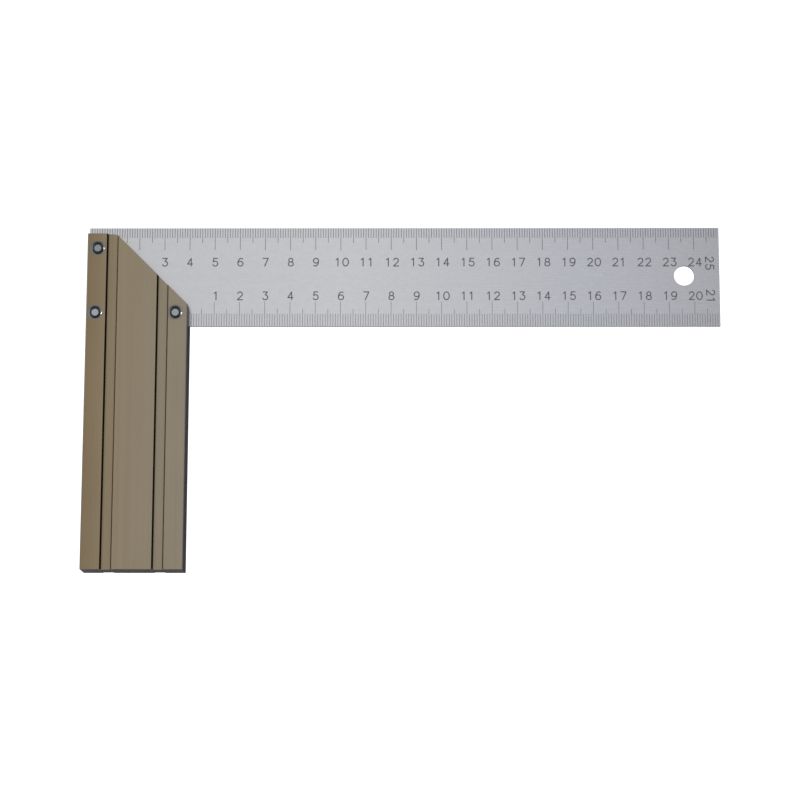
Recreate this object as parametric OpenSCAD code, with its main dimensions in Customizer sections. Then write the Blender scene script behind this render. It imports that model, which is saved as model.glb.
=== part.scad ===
// Fixed try square: a graduated steel blade riveted into the slotted end of an extruded stock.
// Frame: the origin is the inner corner, where the blade's inner edge leaves the stock's inner side,
// in the blade's mid-plane. +X runs along the blade to its free end, +Y to the blade's outer edge,
// and +Z out of the graduated face.

/* [Blade] */
// Length of the blade, from the stock's outer side to its free end
blade_len = 250; // [150:5:400]
// Width of the blade, from its inner edge to its outer edge
blade_w = 40; // [36:1:60]
// Thickness of the blade
blade_t = 1; // [0.8:0.1:2]
// Diameter of the hanging hole
hang_d = 8; // [4:0.5:12]
// Distance from the blade's free end to the centre of the hanging hole
hang_inset = 14; // [10:0.2:30]
// Distance from the blade's outer edge to the centre of the hanging hole
hang_drop = 19.5; // [12:0.5:24]

/* [Stock] */
// Width of the stock, along the blade
stock_w = 40; // [38:1:60]
// Length of the stock, across the blade
stock_len = 133.5; // [80:0.5:250]
// Thickness of the stock
stock_t = 13; // [10:0.5:20]
// Height of the blade's outer edge above the stock's top end
blade_rise = 3.6; // [0:0.1:5.5]
// Leg of the 45 degree mitre that slopes the stock's top end down to its inner side
mitre_leg = 28.7; // [10:0.1:30]
// Radius that blends the top end into the mitre
mitre_r = 2.5; // [0.5:0.1:3]
// Radius of the extrusion's long outer edges
edge_r = 0.4; // [0.2:0.1:1]
// Width of the thin gap on each side of the blade in its slot
slot_gap = 0.02; // [0.01:0.01:0.1]

/* [Grooves] */
// Width of the plain strip between a groove and the stock's side
strip_w = 7.6; // [6:0.1:10]
// Width of a groove at its mouth
groove_w = 4.7; // [3:0.1:6]
// Depth of a groove
groove_depth = 1.5; // [1:0.1:2.5]
// How far each wall of a groove leans in between its mouth and its floor
groove_lean = 0.6; // [0:0.05:1]

/* [Rivets] */
// Diameter of a rivet's shank
shank_d = 3.2; // [2.6:0.1:3.4]
// Diameter of a rivet's countersunk head where it meets the face of the stock
head_d = 5.4; // [5.2:0.1:6.2]
// Distance from the stock's outer side to the upper outer rivet
upper_outer_inset = 4.1; // [3.6:0.1:4.8]
// Distance from the stock's outer side to the lower outer rivet
lower_outer_inset = 3.6; // [3.6:0.1:4.8]
// Distance from the stock's inner side to the inner rivet
inner_inset = 4.8; // [3.8:0.1:4.8]
// Distance from the blade's inner edge to the lower outer and inner rivets
lower_inset = 4.4; // [3.5:0.1:6]
// Distance from the blade's outer edge to the upper rivet
upper_inset = 9.6; // [9.2:0.1:12]

/* [Hidden] */
$fn = 96;

stock_top = blade_w - blade_rise;
stock_bottom = stock_top - stock_len;
half_t = stock_t / 2;
upper_outer_x = upper_outer_inset - stock_w;
lower_outer_x = lower_outer_inset - stock_w;
inner_x = -inner_inset;
upper_y = blade_w - upper_inset;
lower_y = lower_inset;

shank_r = shank_d / 2;
head_r = head_d / 2;
// The countersink is a 90 degree cone, so it is as deep as the head is wider than the shank
sink_depth = head_r - shank_r;
// The riveting tool leaves a round button inside a ring groove, in a shallow dish.
// The button stays just below the stock's face, so that the face still lies flat.
button_r = shank_r - 0.05;
button_top = half_t - 0.05;
button_chamfer = 0.12;
ring_foot_r = button_r + 0.3;
ring_lip_r = ring_foot_r + 0.2;
ring_floor = half_t - 0.65 * sink_depth;
dish_floor = half_t - 0.45 * sink_depth;
// Cutting shapes run this far past the surfaces they cut
over = 1;

// Rectangle centred on the origin, with round corners
module rounded_bar(w, h, r) {
    square([w - 2 * r, h], center = true);
    square([w, h - 2 * r], center = true);
    for (x = [-1, 1], y = [-1, 1])
        translate([x * (w / 2 - r), y * (h / 2 - r)])
            circle(r);
}

// Section of one groove: its mouth is on the x axis, and it opens upwards
module groove_section() {
    mouth = groove_w / 2;
    floor_half = mouth - groove_lean;
    polygon([
        [-mouth, over],
        [-mouth, 0],
        [-floor_half, -groove_depth],
        [floor_half, -groove_depth],
        [mouth, 0],
        [mouth, over]
    ]);
}

// Section of the extrusion, x across the stock and y through its thickness
module stock_section() {
    groove_x = stock_w / 2 - strip_w - groove_w / 2;
    difference() {
        rounded_bar(stock_w, stock_t, edge_r);
        for (side = [-1, 1], face = [0, 1])
            mirror([0, face])
                translate([side * groove_x, half_t])
                    groove_section();
    }
}

// Outline of the stock seen along Z: a rectangle with its inner top corner mitred off
module stock_outline() {
    corner_x = -mitre_leg;
    tangent = mitre_r * tan(22.5);
    diagonal = tangent * cos(45);
    polygon([
        [-stock_w - over, stock_bottom],
        [over, stock_bottom],
        [over, stock_top - mitre_leg - over],
        [corner_x + diagonal, stock_top - diagonal],
        [corner_x - tangent, stock_top],
        [-stock_w - over, stock_top]
    ]);
    translate([corner_x - tangent, stock_top - mitre_r])
        circle(mitre_r);
}

// Hole for one rivet through the whole stock, countersunk at both faces
module rivet_hole() {
    cylinder(r = shank_r, h = stock_t + 2 * over, center = true);
    for (face = [0, 1])
        mirror([0, 0, face])
            translate([0, 0, half_t - sink_depth])
                cylinder(r1 = shank_r, r2 = head_r + over, h = sink_depth + over);
}

// Section of a rivet, x out from its axis and y along it. Both ends are formed alike.
module rivet_section() {
    upper_half = [
        [shank_r, half_t - sink_depth],
        [head_r, half_t],
        [ring_lip_r, dish_floor],
        [ring_foot_r, ring_floor],
        [button_r, ring_floor],
        [button_r, button_top - button_chamfer],
        [button_r - button_chamfer, button_top],
        [0, button_top]
    ];
    lower_half = [for (i = [len(upper_half) - 1:-1:0]) [upper_half[i].x, -upper_half[i].y]];
    polygon(concat(upper_half, lower_half));
}

module rivet() {
    color("lightsteelblue")
        rotate_extrude()
            rivet_section();
}

module at_upper_outer() {
    translate([upper_outer_x, upper_y, 0])
        children();
}

module at_lower_outer() {
    translate([lower_outer_x, lower_y, 0])
        children();
}

module at_inner() {
    translate([inner_x, lower_y, 0])
        children();
}

module at_each_rivet() {
    at_upper_outer()
        children();
    at_lower_outer()
        children();
    at_inner()
        children();
}

module stock() {
    color("tan")
        difference() {
            intersection() {
                translate([-stock_w / 2, stock_top, 0])
                    rotate([90, 0, 0])
                        linear_extrude(stock_len)
                            stock_section();
                linear_extrude(stock_t + 2 * over, center = true)
                    stock_outline();
            }
            translate([-stock_w - over, 0, -blade_t / 2 - slot_gap])
                cube([stock_w + 2 * over, blade_w + over, blade_t + 2 * slot_gap]);
            at_each_rivet()
                rivet_hole();
        }
}

module blade() {
    hang_x = blade_len - stock_w - hang_inset;
    color("gainsboro")
        difference() {
            translate([-stock_w, 0, -blade_t / 2])
                cube([blade_len, blade_w, blade_t]);
            translate([hang_x, blade_w - hang_drop, 0])
                cylinder(d = hang_d, h = blade_t + 2 * over, center = true);
            at_each_rivet()
                cylinder(r = shank_r, h = blade_t + 2 * over, center = true);
        }
}

module upper_outer_rivet() {
    at_upper_outer()
        rivet();
}

module lower_outer_rivet() {
    at_lower_outer()
        rivet();
}

module inner_rivet() {
    at_inner()
        rivet();
}

stock();
blade();
upper_outer_rivet();
lower_outer_rivet();
inner_rivet();
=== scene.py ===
"""Looks of the try square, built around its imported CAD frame.

Lengths in the tables below are in mm, and so are those whose names end in mm. MM turns them into metres.
"""
import math
from functools import cache

import bpy
from mathutils import Matrix, Vector
from mathutils.geometry import delaunay_2d_cdt

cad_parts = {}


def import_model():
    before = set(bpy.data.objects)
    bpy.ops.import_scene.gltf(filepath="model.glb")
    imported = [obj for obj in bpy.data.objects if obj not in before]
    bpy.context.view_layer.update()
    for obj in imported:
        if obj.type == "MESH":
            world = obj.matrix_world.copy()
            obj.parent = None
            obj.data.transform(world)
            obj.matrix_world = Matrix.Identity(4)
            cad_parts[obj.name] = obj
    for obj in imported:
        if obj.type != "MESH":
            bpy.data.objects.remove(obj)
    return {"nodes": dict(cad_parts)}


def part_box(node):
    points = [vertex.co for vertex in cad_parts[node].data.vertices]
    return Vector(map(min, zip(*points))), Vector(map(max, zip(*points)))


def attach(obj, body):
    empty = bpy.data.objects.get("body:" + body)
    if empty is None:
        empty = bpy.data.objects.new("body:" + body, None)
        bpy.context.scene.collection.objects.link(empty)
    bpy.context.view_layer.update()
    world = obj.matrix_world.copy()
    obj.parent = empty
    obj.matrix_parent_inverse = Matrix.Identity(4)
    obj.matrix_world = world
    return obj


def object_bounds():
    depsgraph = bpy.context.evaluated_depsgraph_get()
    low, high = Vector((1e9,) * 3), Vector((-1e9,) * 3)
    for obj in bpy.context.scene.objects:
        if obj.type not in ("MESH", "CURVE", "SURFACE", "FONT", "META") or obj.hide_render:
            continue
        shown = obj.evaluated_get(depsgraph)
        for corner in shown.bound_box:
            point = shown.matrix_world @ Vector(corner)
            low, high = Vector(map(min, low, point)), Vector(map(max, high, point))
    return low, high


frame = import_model()
cad_low, cad_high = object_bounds()

MM = 0.001
blade_low, blade_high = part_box("blade")
stock_low, stock_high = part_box("stock")

# Each rivet, and how bright its steel is
RIVETS = {"upper_outer_rivet": 0.8, "lower_outer_rivet": 1.1, "inner_rivet": 1.0}

# Distances from a rivet's axis between which its looks, or those of the stock round it, change
RIVET_ZONES = {
    "button_rim": (1.22, 1.5),
    "ring_rim": (1.75, 2.05),
    "lip_start": (1.9, 2.1),
    "lip_end": (2.3, 2.5),
    "bruise_end": (2.9, 3.5),
}

# What the two scales share
MARKS = {
    "rise": 0.01,
    "edge_gap": 0.05,
    "digit_w": 2.0,
    "digit_h": 3.16,
    "digit_stroke": 0.43,
    "digit_pitch": 3.06,
    "shift_of_1": 0.65,
    "shift_of_one_digit": 0.15,
    "shift_of_two_digits": 0.4,
}

# What differs. Lines at 1, 5 and 10 mm have their own lengths. foot and turned_inset are measured inwards
# from the blade's edge, to the numbers' feet and to the middle of the last number, which is turned.
# turned_x is measured from the scale's zero to the foot of that number
OUTER_SCALE = {
    "line_w": 0.2,
    "line_lengths": (4.0, 6.0, 9.0),
    "last_line": 249,
    "numbers": range(3, 25),
    "foot": 15.5,
    "turned_number": 25,
    "turned_x": 244.6,
    "turned_inset": 14.4,
}
INNER_SCALE = {
    "line_w": 0.165,
    "line_lengths": (5.1, 7.1, 10.0),
    "last_line": 209,
    "numbers": range(1, 21),
    "foot": 10.8,
    "turned_number": 21,
    "turned_x": 204.8,
    "turned_inset": 12.1,
}

# Drawing of the digits: degrees between the points of an arc, degrees of turn from which a corner
# is sharp, and the distance below which two points are one
ARC_STEP = 18
SHARP_TURN = 45
SAME_PLACE = 0.001


# Node trees -----------------------------------------------------------------------------------------------

class Nodes:
    """The node tree of a material or a world, with short calls that add nodes and join them."""

    def __init__(self, owner):
        self.owner = owner
        owner.use_nodes = True
        self.tree = owner.node_tree
        self.tree.nodes.clear()

    def add(self, kind, inputs=None, **settings):
        node = self.tree.nodes.new("ShaderNode" + kind)
        for key, value in settings.items():
            setattr(node, key, value)
        for key, value in (inputs or {}).items():
            self.feed(node.inputs[key], value)
        return node

    def feed(self, socket, value):
        if isinstance(value, bpy.types.NodeSocket):
            self.tree.links.new(value, socket)
        else:
            socket.default_value = value

    def place(self):
        """Position in the row frame, in metres."""
        return self.add("TexCoord").outputs["Object"]

    def axes(self, vector):
        return self.add("SeparateXYZ", {"Vector": vector}).outputs

    def facing(self):
        """Components of the direction that the surface faces, in the row frame."""
        return self.axes(self.add("TexCoord").outputs["Normal"])

    def calc(self, operation, first, second=0.0, *more):
        """Result of an operation. With more than two values, it is applied to them in turn."""
        result = self.add("Math", {0: first, 1: second}, operation=operation).outputs[0]
        for value in more:
            result = self.add("Math", {0: result, 1: value}, operation=operation).outputs[0]
        return result

    def invert(self, value):
        return self.calc("SUBTRACT", 1.0, value)

    def remap(self, value, low, high, to_low=0.0, to_high=1.0):
        inputs = {"Value": value, "From Min": low, "From Max": high, "To Min": to_low, "To Max": to_high}
        return self.add("MapRange", inputs).outputs["Result"]

    def beyond(self, distance, zone):
        """0 short of a zone given in mm, rising through it to 1."""
        return self.remap(distance, zone[0] * MM, zone[1] * MM)

    def within(self, distance, zone):
        """1 short of a zone given in mm, falling through it to 0."""
        return self.remap(distance, zone[0] * MM, zone[1] * MM, 1.0, 0.0)

    def noise(self, per_metre, detail=3.0, roughness=0.55, offset=(0, 0, 0)):
        """Noise with its own grain along each axis. per_metre says how many grains fit in a metre."""
        stretched = self.add("Mapping", {"Vector": self.place(), "Scale": per_metre, "Location": offset})
        inputs = {"Vector": stretched.outputs[0], "Scale": 1.0, "Detail": detail, "Roughness": roughness}
        return self.add("TexNoise", inputs).outputs["Fac"]

    def mix(self, factor, first, second, **settings):
        node = self.add("Mix", data_type="RGBA", **settings)
        self.feed(node.inputs["Factor"], factor)
        self.feed(node.inputs[6], first)
        self.feed(node.inputs[7], second)
        return node.outputs[2]

    def scale_colour(self, colour, factor):
        grey = self.add("CombineColor", {"Red": factor, "Green": factor, "Blue": factor}).outputs[0]
        return self.mix(1.0, colour, grey, blend_type="MULTIPLY")

    def tint(self, value, stops):
        """Colour that runs through the stops, which are pairs of a value and a colour."""
        start, colour = stops[0]
        for end, next_colour in stops[1:]:
            colour = self.mix(self.remap(value, start, end), colour, next_colour)
            start = end
        return colour

    def bump(self, height, depth_mm, strength=1.0, normal=None):
        inputs = {"Height": height, "Strength": strength, "Distance": depth_mm * MM}
        if normal is not None:
            inputs["Normal"] = normal
        return self.add("Bump", inputs).outputs["Normal"]

    def shelter(self, reach_mm):
        """1 on open surfaces, falling to 0 deep inside corners."""
        node = self.add("AmbientOcclusion", {"Distance": reach_mm * MM}, samples=8, only_local=True)
        return node.outputs["AO"]

    def edge(self, radius_mm):
        """0 on flat surfaces, rising to 1 on edges."""
        rounded = self.add("Bevel", {"Radius": radius_mm * MM}, samples=4).outputs[0]
        flat = self.add("NewGeometry").outputs["Normal"]
        likeness = self.add("VectorMath", {0: rounded, 1: flat}, operation="DOT_PRODUCT").outputs["Value"]
        return self.remap(likeness, 0.995, 0.85)

    def metal(self, colour, roughness, normal, metallic=1.0, grain=None, anisotropy=0.0, glance=None):
        """grain is the tangent that anisotropy follows. glance tints reflections along the surface."""
        inputs = {"Base Color": colour, "Metallic": metallic, "Roughness": roughness, "Normal": normal}
        inputs["Anisotropic"] = anisotropy
        if glance is not None:
            inputs["Specular Tint"] = glance
        if grain is not None:
            inputs["Tangent"] = self.add("CombineXYZ", dict(zip("XYZ", grain))).outputs[0]
        return self.add("BsdfPrincipled", inputs).outputs[0]

    def finish(self, surface, output="OutputMaterial"):
        self.add(output, {"Surface": surface})
        return self.owner


def material_nodes(name):
    return Nodes(bpy.data.materials.new(name))


def tone(red, green, blue):
    """Linear colour of an sRGB colour whose channels run from 0 to 255."""
    def linear(channel):
        level = channel / 255
        return level / 12.92 if level <= 0.04045 else ((level + 0.055) / 1.055) ** 2.4
    return (linear(red), linear(green), linear(blue), 1.0)


# Stock's material -----------------------------------------------------------------------------------------

def stock_material():
    """Anodised skin where the stock was drawn, and bare metal where it was machined."""
    nodes = material_nodes("bronze_anodised_stock")
    on_side, machined = machined_planes(nodes)
    both = nodes.add("MixShader", {0: machined, 1: anodised_skin(nodes), 2: bare_metal(nodes, on_side)})
    return nodes.finish(both.outputs[0])


def anodised_skin(nodes):
    """Bronze skin with die lines along the stock, soft clouds, a satin grain, painted shade in corners and on
    the grooves' walls, and worn edges.
    """
    die_lines = nodes.noise((2300, 7, 2300), detail=5, roughness=0.65)
    wide_lines = nodes.noise((420, 3, 420), detail=2, offset=(3, 1, 2))
    clouds = nodes.noise((45, 30, 45), detail=3, offset=(9, 4, 7))
    satin = nodes.noise((9000, 5200, 9000), detail=2)
    light = nodes.calc(
        "MULTIPLY",
        nodes.remap(die_lines, 0.25, 0.75, 0.94, 1.06),
        nodes.remap(wide_lines, 0.3, 0.7, 0.98, 1.02),
        nodes.remap(clouds, 0.3, 0.7, 0.97, 1.03),
        nodes.remap(satin, 0.3, 0.7, 0.97, 1.03),
    )
    colour = nodes.scale_colour(skin_tint(nodes), light)
    # Painted shade: the skin darkens deep in corners and recesses
    colour = nodes.scale_colour(colour, nodes.remap(nodes.shelter(1.6), 0.1, 0.8, 0.25, 1.0))

    # Painted shade on the grooves' walls, darkest on those that face +x
    wall, painted_shade = groove_walls(nodes)
    colour = nodes.mix(wall, colour, nodes.scale_colour(tone(133, 110, 85), painted_shade))
    bruised = bruised_rings(nodes)
    colour = nodes.mix(nodes.calc("MULTIPLY", bruised, 0.75), colour, tone(122, 119, 112))
    worn = nodes.calc("MULTIPLY", nodes.edge(0.22), nodes.remap(die_lines, 0.35, 0.6))
    colour = nodes.mix(nodes.calc("MULTIPLY", worn, 0.35), colour, tone(176, 168, 152))

    normal = nodes.bump(satin, depth_mm=0.0012, strength=0.5)
    normal = nodes.bump(die_lines, depth_mm=0.004, strength=0.6, normal=normal)
    normal = nodes.bump(nodes.invert(bruised), depth_mm=0.03, normal=normal)
    roughness = nodes.remap(satin, 0.3, 0.7, 0.34, 0.44)
    return nodes.metal(colour, roughness, normal, grain=(1, 0, 0), anisotropy=0.35)


def skin_tint(nodes):
    """Skin colour with painted shade: it grows paler from the outer side to the inner, mostly over the outer
    strip and groove.
    """
    x = nodes.axes(nodes.place())[0]
    outer_part_w = 13 * MM
    stops = [
        (stock_low.x, tone(131, 114, 89)),
        (stock_low.x + outer_part_w, tone(146, 133, 111)),
        (stock_high.x, tone(147, 137, 121)),
    ]
    return nodes.tint(x, stops)


def groove_walls(nodes):
    """Where the grooves' walls are, and how much painted shade darkens them: darkest on the walls that face
    +x.
    """
    x = nodes.axes(nodes.place())[0]
    facing = nodes.facing()
    side_margin = 3 * MM
    from_outer = nodes.calc("SUBTRACT", x, stock_low.x)
    from_inner = nodes.calc("SUBTRACT", stock_high.x, x)
    from_nearest = nodes.calc("MINIMUM", from_outer, from_inner)
    past_margin = nodes.calc("GREATER_THAN", from_nearest, side_margin)
    steep = nodes.calc("LESS_THAN", nodes.calc("ABSOLUTE", facing[2]), 0.8)
    return nodes.calc("MULTIPLY", steep, past_margin), nodes.remap(facing[0], -0.9, 0.9, 0.55, 0.06)


def bruised_rings(nodes):
    """1 close round each rivet head, where the riveting tool has bruised the skin, and 0 elsewhere."""
    rings = [nodes.within(axis_distance(nodes, rivet), RIVET_ZONES["bruise_end"]) for rivet in RIVETS]
    return nodes.calc("MAXIMUM", *rings)


def bare_metal(nodes, on_side):
    """Fine tool lines in two directions, on metal that is darker on the stock's sides, where painted shade
    also dims their glancing reflections.
    """
    milled = nodes.noise((900, 3800, 160), detail=4, offset=(5, 5, 5))
    saw = nodes.noise((120, 900, 4200), detail=4, offset=(2, 8, 1))
    lines = nodes.calc("ADD", nodes.calc("MULTIPLY", milled, 0.5), nodes.calc("MULTIPLY", saw, 0.5))
    colour = nodes.scale_colour(tone(174, 171, 171), nodes.remap(lines, 0.35, 0.65, 0.85, 1.15))
    # Painted shade: the stock's sides are darker, and so are their glancing reflections
    colour = nodes.scale_colour(colour, nodes.remap(on_side, 0.0, 1.0, 1.0, 0.7))
    glance = nodes.mix(on_side, tone(255, 255, 255), tone(150, 148, 145))
    roughness = nodes.remap(lines, 0.35, 0.65, 0.42, 0.6)
    normal = nodes.bump(lines, depth_mm=0.01, strength=0.7)
    return nodes.metal(colour, roughness, normal, metallic=0.7, glance=glance)


def machined_planes(nodes):
    """1 on the stock's two sides and 0 elsewhere, then 1 on the sides, both ends and the mitre."""
    x, y = nodes.axes(nodes.place())[:2]
    skin_depth, broken_edge = 0.05 * MM, 0.3 * MM
    depth_from_sides = nodes.calc(
        "MINIMUM",
        nodes.calc("SUBTRACT", x, stock_low.x + broken_edge),
        nodes.calc("SUBTRACT", stock_high.x - broken_edge, x),
    )
    depth_from_all = nodes.calc(
        "MINIMUM",
        depth_from_sides,
        nodes.calc("SUBTRACT", y, stock_low.y + skin_depth),
        nodes.calc("SUBTRACT", stock_high.y - skin_depth, y),
        nodes.calc("SUBTRACT", mitre_reach() - skin_depth, nodes.calc("ADD", x, y)),
    )
    return [nodes.calc("LESS_THAN", depth, 0.0) for depth in (depth_from_sides, depth_from_all)]


def mitre_reach():
    """The sum of x and y on the mitre's plane, read off the stock's own corner points."""
    points = frame["nodes"]["stock"].data.vertices
    return max(v.co.x + v.co.y for v in points)


# Other materials ------------------------------------------------------------------------------------------

def blade_material():
    """Steel brushed along the blade, with faint bands, mottling and scuffs, painted light along its length,
    and painted shade on its edge faces.
    """
    nodes = material_nodes("brushed_steel_blade")
    brush = nodes.noise((110, 5200, 5200), detail=6, roughness=0.7)
    bands = nodes.noise((9, 260, 260), detail=3, offset=(4, 2, 6))
    mottle = nodes.noise((520, 640, 640), detail=4, roughness=0.6, offset=(1, 7, 3))
    scuffs = nodes.noise((900, 700, 700), detail=4, roughness=0.7, offset=(6, 3, 9))
    light = nodes.calc(
        "MULTIPLY",
        nodes.remap(brush, 0.25, 0.75, 0.94, 1.06),
        nodes.remap(bands, 0.3, 0.7, 0.992, 1.008),
        nodes.remap(mottle, 0.3, 0.7, 0.972, 1.028),
        nodes.remap(scuffs, 0.62, 0.78, 1.0, 0.95),
    )
    # Painted light: the steel is lighter towards the blade's middle and bluer towards its far end
    along = nodes.remap(nodes.axes(nodes.place())[0], blade_low.x, blade_high.x)
    stops = [(0.0, tone(191, 192, 195)), (0.4, tone(202, 203, 206)), (0.75, tone(194, 196, 203))]
    colour = nodes.scale_colour(nodes.tint(along, stops), light)
    colour = nodes.mix(nodes.calc("MULTIPLY", nodes.edge(0.1), 0.4), colour, tone(215, 216, 220))
    # Painted shade: the blade's edge faces are darker
    shaded_edge_faces = nodes.calc("LESS_THAN", nodes.calc("ABSOLUTE", nodes.facing()[2]), 0.5)
    colour = nodes.scale_colour(colour, nodes.invert(nodes.calc("MULTIPLY", shaded_edge_faces, 0.45)))
    roughness = nodes.remap(brush, 0.3, 0.7, 0.24, 0.34)
    normal = nodes.bump(brush, depth_mm=0.002, strength=0.5)
    return nodes.finish(nodes.metal(colour, roughness, normal, grain=(0, 1, 0), anisotropy=0.6))


def ink_material():
    """Etched scale marks: dark grey, matt and a little broken up."""
    nodes = material_nodes("etched_scale_marks")
    grain = nodes.noise((7000, 7000, 7000), detail=3)
    colour = nodes.mix(nodes.remap(grain, 0.35, 0.7), tone(87, 89, 96), tone(124, 126, 134))
    normal = nodes.bump(grain, depth_mm=0.003, strength=0.5)
    return nodes.finish(nodes.metal(colour, 0.6, normal, metallic=0.25))


def rivet_material(rivet):
    """Steel with fine turning rings, painted shade in the ring groove and on slopes that face -y, and a
    burnished lip outside it.
    """
    nodes = material_nodes("steel_" + rivet)
    radius = axis_distance(nodes, rivet)
    ring_pitch = 0.16 * MM
    rings = nodes.calc("SINE", nodes.calc("MULTIPLY", radius, 2 * math.pi / ring_pitch))
    own_offset = (4 * list(RIVETS).index(rivet) + 2, 3, 5)
    grain = nodes.noise((2600, 2600, 2600), detail=5, roughness=0.65, offset=own_offset)
    light = nodes.calc("MULTIPLY", nodes.remap(grain, 0.3, 0.7, 0.8, 1.16), RIVETS[rivet])
    colour = nodes.scale_colour(tone(150, 157, 156), light)

    past_button = nodes.beyond(radius, RIVET_ZONES["button_rim"])
    past_ring = nodes.beyond(radius, RIVET_ZONES["ring_rim"])
    # Painted shade in the ring groove
    painted_shade = nodes.calc("MULTIPLY", past_button, nodes.invert(nodes.calc("MULTIPLY", past_ring, 0.9)))
    colour = nodes.mix(painted_shade, colour, tone(66, 70, 78))
    past_lip_start = nodes.beyond(radius, RIVET_ZONES["lip_start"])
    within_lip_end = nodes.within(radius, RIVET_ZONES["lip_end"])
    burnished = nodes.calc("MULTIPLY", past_lip_start, within_lip_end, 0.8)
    colour = nodes.mix(burnished, colour, tone(215, 219, 224))

    # Painted shade: slopes that face -y are darker than the rest
    colour = nodes.scale_colour(colour, nodes.remap(nodes.facing()[1], -0.55, -0.15, 0.22, 1.0))
    normal = nodes.bump(grain, depth_mm=0.009, strength=0.5)
    normal = nodes.bump(rings, depth_mm=0.002, strength=0.4, normal=normal)
    return nodes.finish(nodes.metal(colour, nodes.remap(grain, 0.3, 0.7, 0.22, 0.3), normal))


def axis_distance(nodes, rivet):
    """Distance from a rivet's own axis."""
    low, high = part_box(rivet)
    centre = (low + high) / 2
    x, y = nodes.axes(nodes.place())[:2]
    dx = nodes.calc("SUBTRACT", x, centre.x)
    dy = nodes.calc("SUBTRACT", y, centre.y)
    squares = nodes.calc("ADD", nodes.calc("MULTIPLY", dx, dx), nodes.calc("MULTIPLY", dy, dy))
    return nodes.calc("SQRT", squares)


def floor_material():
    """Pale matt floor. The camera sees it near white, but to the metal it is a dim surface.

    It vanishes when the camera is below it, so that the square's back can be looked at.
    """
    nodes = material_nodes("pale_floor")
    pale = nodes.add("BsdfDiffuse", {"Color": (0.9, 0.9, 0.9, 1)}).outputs[0]
    glow = nodes.add("Emission", {"Color": (1, 1, 1, 1), "Strength": 1.25}).outputs[0]
    dim = nodes.add("BsdfDiffuse", {"Color": (0.16, 0.155, 0.15, 1)}).outputs[0]
    clear = nodes.add("BsdfTransparent", {"Color": (1, 1, 1, 1)}).outputs[0]
    view = nodes.add("NewGeometry").outputs
    steep_view = nodes.remap(nodes.axes(view["Incoming"])[2], 0.7, 0.92, 0.6, 1.0)
    seen = nodes.add("MixShader", {0: steep_view, 1: pale, 2: glow}).outputs[0]
    camera_ray = nodes.add("LightPath").outputs["Is Camera Ray"]
    front = nodes.add("MixShader", {0: camera_ray, 1: dim, 2: seen}).outputs[0]
    camera_below = nodes.calc("LESS_THAN", nodes.axes(camera_place(nodes))[2], cad_low.z)
    unseen = nodes.calc("MAXIMUM", view["Backfacing"], camera_below)
    return nodes.finish(nodes.add("MixShader", {0: unseen, 1: front, 2: clear}).outputs[0])


def camera_place(nodes):
    """Position of the camera in the world."""
    origin = nodes.add("CombineXYZ").outputs[0]
    settings = {"vector_type": "POINT", "convert_from": "CAMERA", "convert_to": "WORLD"}
    return nodes.add("VectorTransform", {"Vector": origin}, **settings).outputs[0]


# Digits ---------------------------------------------------------------------------------------------------

def arc(centre, radii, start, end):
    """Points along an elliptic arc. Angles are in degrees, anticlockwise from +x."""
    steps = max(2, round(abs(end - start) / ARC_STEP))
    angles = [math.radians(start + (end - start) * i / steps) for i in range(steps + 1)]
    return [(centre[0] + radii[0] * math.cos(a), centre[1] + radii[1] * math.sin(a)) for a in angles]


def digit_strokes(digit):
    """Centre lines of a plain single-stroke digit. Its cell runs from -0.5 to 0.5 across, and 0 to 1 up."""
    six = arc((0.12, 0.34), (0.62, 0.66), 62, 180) + arc((0, 0.31), (0.5, 0.31), 180, 540)
    strokes = {
        0: [arc((0, 0.5), (0.55, 0.5), 0, 360)],
        1: [[(-0.34, 0.82), (0, 1), (0, 0)]],
        2: [arc((0, 0.71), (0.46, 0.29), 165, -32) + [(-0.5, 0), (0.5, 0)]],
        3: [[(-0.42, 1), (0.42, 1), (0, 0.62)] + arc((0, 0.31), (0.5, 0.31), 80, -155)],
        4: [[(0.22, 0), (0.22, 1), (-0.5, 0.27), (0.5, 0.27)]],
        5: [[(0.42, 1), (-0.3, 1)] + arc((-0.02, 0.32), (0.5, 0.32), 138, -155)],
        6: [six],
        7: [[(-0.5, 1), (0.5, 1), (-0.18, 0)]],
        8: [arc((0, 0.76), (0.4, 0.24), 0, 360), arc((0, 0.265), (0.5, 0.265), 0, 360)],
        9: [[(-x, 1 - y) for x, y in six]],
    }
    return strokes[digit]


def pie_slice(centre, spoke, turn):
    """Outline of a slice that runs anticlockwise from a spoke. turn is in radians."""
    steps = max(1, round(math.degrees(turn) / ARC_STEP))
    rim = [Matrix.Rotation(turn * i / steps, 2) @ spoke for i in range(steps + 1)]
    return [centre] + [centre + vector for vector in rim]


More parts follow.
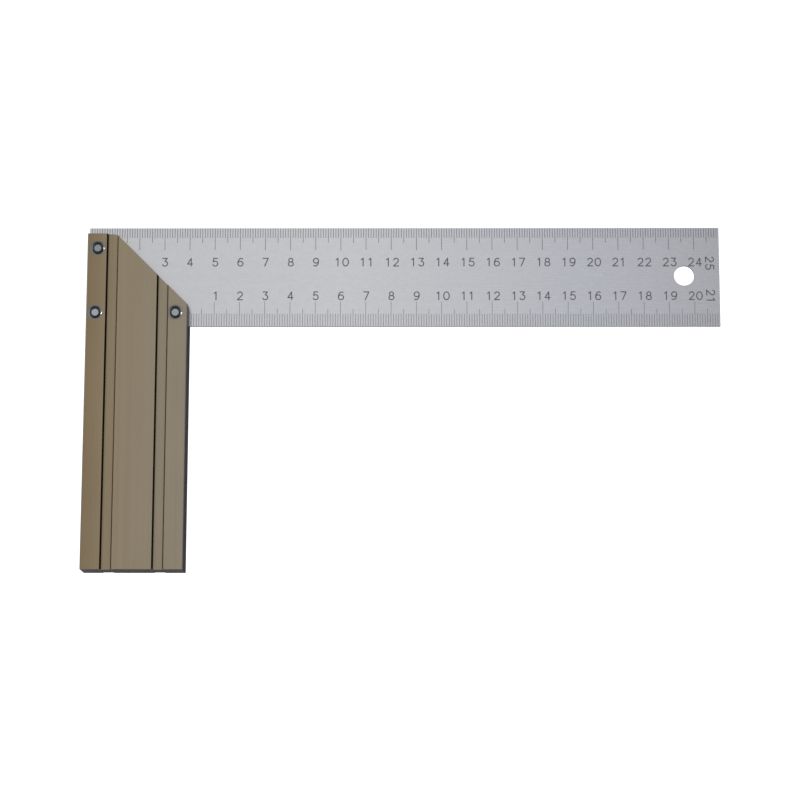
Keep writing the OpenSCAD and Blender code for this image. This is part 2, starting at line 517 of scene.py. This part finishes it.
def stroke_outlines(points, half):
    """Outlines that cover a stroke: a band along each length, and a slice round each end and sharp corner."""
    points = [Vector(point) for point in points]
    directions = [(end - start).normalized() for start, end in zip(points, points[1:])]
    closed = (points[0] - points[-1]).length < SAME_PLACE
    arriving, leaving, outlines = [], [], []
    for i, point in enumerate(points):
        before = directions[i - 1] if i > 0 or closed else None
        after = directions[i % len(directions)] if i < len(directions) or closed else None
        # From the centre line to the stroke's left edge, where it arrives at the point and where it leaves
        left_in = before.orthogonal() * half if before else None
        left_out = after.orthogonal() * half if after else None
        if before is None:
            outlines.append(pie_slice(point, left_out, math.pi))
        elif after is None:
            outlines.append(pie_slice(point, -left_in, math.pi))
        else:
            turn = math.atan2(before.cross(after), before.dot(after))
            if abs(turn) < math.radians(SHARP_TURN):
                left_in = left_out = (left_in + left_out).normalized() * half / math.cos(turn / 2)
            elif turn > 0:
                outlines.append(pie_slice(point, -left_in, turn))
            else:
                outlines.append(pie_slice(point, left_out, -turn))
        arriving.append(left_in)
        leaving.append(left_out)
    for start, end, left_start, left_end in zip(points, points[1:], leaving, arriving[1:]):
        outlines.append([start - left_start, end - left_end, end, end + left_end, start + left_start, start])
    return outlines


def corner_index(corners, corner):
    """Place of a corner in the list of corners, which it joins if it isn't there yet."""
    for i, known in enumerate(corners):
        if (known - corner).length < SAME_PLACE:
            return i
    corners.append(corner)
    return len(corners) - 1


@cache
def digit_solid(digit):
    """Digit as one closed solid, in metres, with its foot's centre at the origin."""
    width, height = MARKS["digit_w"], MARKS["digit_h"]
    corners, outlines = [], []
    for stroke in digit_strokes(digit):
        points = [(x * width, y * height) for x, y in stroke]
        for outline in stroke_outlines(points, MARKS["digit_stroke"] / 2):
            outlines.append([corner_index(corners, corner) for corner in outline])
    inside_outlines, tolerance = 1, 0.0001
    merged = delaunay_2d_cdt(corners, [], outlines, inside_outlines, tolerance)
    points, triangles, covered_by = merged[0], merged[2], merged[5]
    triangles = [tuple(triangle) for triangle, cover in zip(triangles, covered_by) if cover]
    used = sorted({i for triangle in triangles for i in triangle})
    new_index = {old: new for new, old in enumerate(used)}
    flat = [tuple(points[i] * MM) for i in used]
    return slab(flat, [tuple(new_index[i] for i in triangle) for triangle in triangles])


# Scale marks ----------------------------------------------------------------------------------------------

def slab(flat, faces, height=0.0):
    """Closed solid on flat faces that run anticlockwise, half above and half below a height."""
    count = len(flat)
    rise = MARKS["rise"] * MM
    points = [(x, y, height - rise) for x, y in flat] + [(x, y, height + rise) for x, y in flat]
    solid_faces = [tuple(reversed(face)) for face in faces]
    solid_faces += [tuple(count + i for i in face) for face in faces]
    edges = {(a, b) for face in faces for a, b in zip(face, face[1:] + face[:1])}
    solid_faces += [(a, b, count + b, count + a) for a, b in sorted(edges) if (b, a) not in edges]
    return points, solid_faces


def number_solids(number, x, y, turned=False):
    """Digits of a number that stands on y, centred on x. A turned one stands on x and reads downwards."""
    text = str(number)
    pitch = MARKS["digit_pitch"] * MM
    turn = Matrix.Rotation(-math.pi / 2, 3, "Z") if turned else Matrix.Identity(3)
    solids = []
    for i, character in enumerate(text):
        shift = Vector(((i - (len(text) - 1) / 2) * pitch, 0, 0))
        points, faces = digit_solid(int(character))
        moved = [turn @ (Vector(p) + shift) + Vector((x, y, blade_high.z)) for p in points]
        solids.append(([tuple(p) for p in moved], faces))
    return solids


def number_shift(cm):
    """How far to the right of its own line a number stands, in mm."""
    if cm == 1:
        return MARKS["shift_of_1"]
    return MARKS["shift_of_two_digits"] if cm > 9 else MARKS["shift_of_one_digit"]


def line_solids(scale, zero_x, edge_y, inward):
    """A line at each millimetre of a scale, longer at 5 and at 10 mm."""
    short, middle, long = scale["line_lengths"]
    half = scale["line_w"] * MM / 2
    start_y = edge_y + inward * MARKS["edge_gap"] * MM
    solids = []
    for mark in range(1, scale["last_line"] + 1):
        length = long if mark % 10 == 0 else middle if mark % 5 == 0 else short
        x = zero_x + mark * MM
        low, high = sorted((start_y, edge_y + inward * length * MM))
        outline = [(x - half, low), (x + half, low), (x + half, high), (x - half, high)]
        solids.append(slab(outline, [(0, 1, 2, 3)], blade_high.z))
    return solids


def blade_scale(name, scale, zero_x, edge_y, inward, ink):
    """Lines and numbers of one scale. inward is the way from the blade's edge to its middle, -1 or 1."""
    foot_y = edge_y + inward * scale["foot"] * MM
    numbers = []
    for cm in scale["numbers"]:
        x = zero_x + (10 * cm + number_shift(cm)) * MM
        numbers += number_solids(cm, x, foot_y)
    turned_x = zero_x + scale["turned_x"] * MM
    turned_y = edge_y + inward * scale["turned_inset"] * MM
    numbers += number_solids(scale["turned_number"], turned_x, turned_y, turned=True)
    scale_piece(name + "_lines", line_solids(scale, zero_x, edge_y, inward), ink)
    scale_piece(name + "_numbers", numbers, ink)


def outer_scale(ink):
    """Scale along the blade's outer edge, whose zero is the blade's short end."""
    blade_scale("outer_scale", OUTER_SCALE, blade_low.x, blade_high.y, -1, ink)


def inner_scale(ink):
    """Scale along the blade's inner edge, whose zero is the stock's inner side."""
    blade_scale("inner_scale", INNER_SCALE, stock_high.x, blade_low.y, 1, ink)


# Pieces ---------------------------------------------------------------------------------------------------

def gather(solids):
    """One list of points and one of faces for many solids."""
    points, faces = [], []
    for solid_points, solid_faces in solids:
        start = len(points)
        points += solid_points
        faces += [tuple(start + i for i in face) for face in solid_faces]
    return points, faces


def mesh_piece(name, points, faces, material):
    mesh = bpy.data.meshes.new(name)
    mesh.from_pydata(points, [], faces)
    mesh.update()
    mesh.materials.append(material)
    piece = bpy.data.objects.new(name, mesh)
    bpy.context.scene.collection.objects.link(piece)
    return piece


def scale_piece(name, solids, ink):
    piece = mesh_piece(name, *gather(solids), ink)
    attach(piece, "root")


def dress(node, material, edge_mm):
    """Gives a CAD node its material, and breaks its sharp edges with a fine round."""
    piece = frame["nodes"][node]
    piece.data.materials.clear()
    piece.data.materials.append(material)
    weld = piece.modifiers.new("weld", "WELD")
    weld.merge_threshold = 0.001 * MM
    flatten = piece.modifiers.new("flatten", "DECIMATE")
    flatten.decimate_type = "DISSOLVE"
    flatten.angle_limit = math.radians(0.5)
    edge = piece.modifiers.new("edge", "BEVEL")
    edge.width = edge_mm * MM
    edge.segments = 2
    edge.limit_method = "ANGLE"
    edge.angle_limit = math.radians(30)


# Stage ----------------------------------------------------------------------------------------------------

def floor():
    reach = 6.0
    gap = 0.02 * MM
    z = cad_low.z - gap
    corners = [(-reach, -reach, z), (reach, -reach, z), (reach, reach, z), (-reach, reach, z)]
    piece = mesh_piece("floor", corners, [(0, 1, 2, 3)], floor_material())


def area_light(name, place, target, size, watts):
    data = bpy.data.lights.new(name, "AREA")
    data.shape = "DISK"
    data.size = size
    data.energy = watts
    light = bpy.data.objects.new(name, data)
    bpy.context.scene.collection.objects.link(light)
    light.location = place
    light.rotation_euler = (target - Vector(place)).to_track_quat("-Z", "Y").to_euler()


def lights():
    """A broad soft light overhead, and a small low one beyond the stock's outer side. Lengths in metres."""
    middle = (cad_low + cad_high) / 2
    area_light("overhead", (middle.x - 0.4, middle.y + 0.2, 1.3), middle, size=1.64, watts=4.35)
    area_light("key", (middle.x - 0.95, middle.y + 0.33, 0.2), middle, size=0.15, watts=1.3)


def world():
    """Soft room, dimmer towards its +x, -y corner, white where the camera sees past the floor."""
    nodes = Nodes(bpy.data.worlds.new("room"))
    direction = nodes.add("TexCoord").outputs["Generated"]
    by_height = nodes.add("ValToRGB", {"Fac": nodes.axes(direction)[2]})
    stops = by_height.color_ramp.elements
    for height, grey in ((0.0, 0.46), (0.3, 0.76), (0.6, 0.72), (0.9, 0.4)):
        stop = stops[0] if height == 0.0 else stops.new(height)
        stop.color = (grey, grey, grey, 1)
    ramps_own_last_stop = stops[-1]
    stops.remove(ramps_own_last_stop)
    bright_side = (-0.6, 0.8, 0)
    towards = nodes.add("VectorMath", {0: direction, 1: bright_side}, operation="DOT_PRODUCT")
    by_side = nodes.remap(towards.outputs["Value"], -1.0, 1.0, 0.6, 1.05)
    light = nodes.calc("MULTIPLY", by_height.outputs["Color"], by_side)
    camera_ray = nodes.add("LightPath").outputs["Is Camera Ray"]
    strength = nodes.add("Mix", {"Factor": camera_ray, "A": light, "B": 1.0}).outputs["Result"]
    background = nodes.add("Background", {"Color": (1, 1, 1, 1), "Strength": strength}).outputs[0]
    bpy.context.scene.world = nodes.finish(background, "OutputWorld")


def camera():
    """Looks down on the square from 10.7 degrees off vertical, on the side of the stock's bottom end."""
    distance = 982.2 * MM
    tilt, lean = math.radians(10.68), math.radians(0.57)
    target = Vector((83.6, -29.5, 0)) * MM
    data = bpy.data.cameras.new("camera")
    data.lens = 112.5
    data.sensor_width = 36
    data.clip_start, data.clip_end = 0.05, 50
    piece = bpy.data.objects.new("camera", data)
    bpy.context.scene.collection.objects.link(piece)
    turn = Matrix.Rotation(tilt, 3, "X") @ Matrix.Rotation(lean, 3, "Y")
    piece.rotation_euler = turn.to_euler()
    piece.location = target + turn @ Vector((0, 0, distance))
    bpy.context.scene.camera = piece


dress("stock", stock_material(), edge_mm=0.12)
dress("blade", blade_material(), edge_mm=0.05)
for rivet in RIVETS:
    dress(rivet, rivet_material(rivet), edge_mm=0.03)
etched = ink_material()
outer_scale(etched)
inner_scale(etched)

floor()
lights()
world()
camera()
bpy.context.scene.view_settings.view_transform = "Standard"
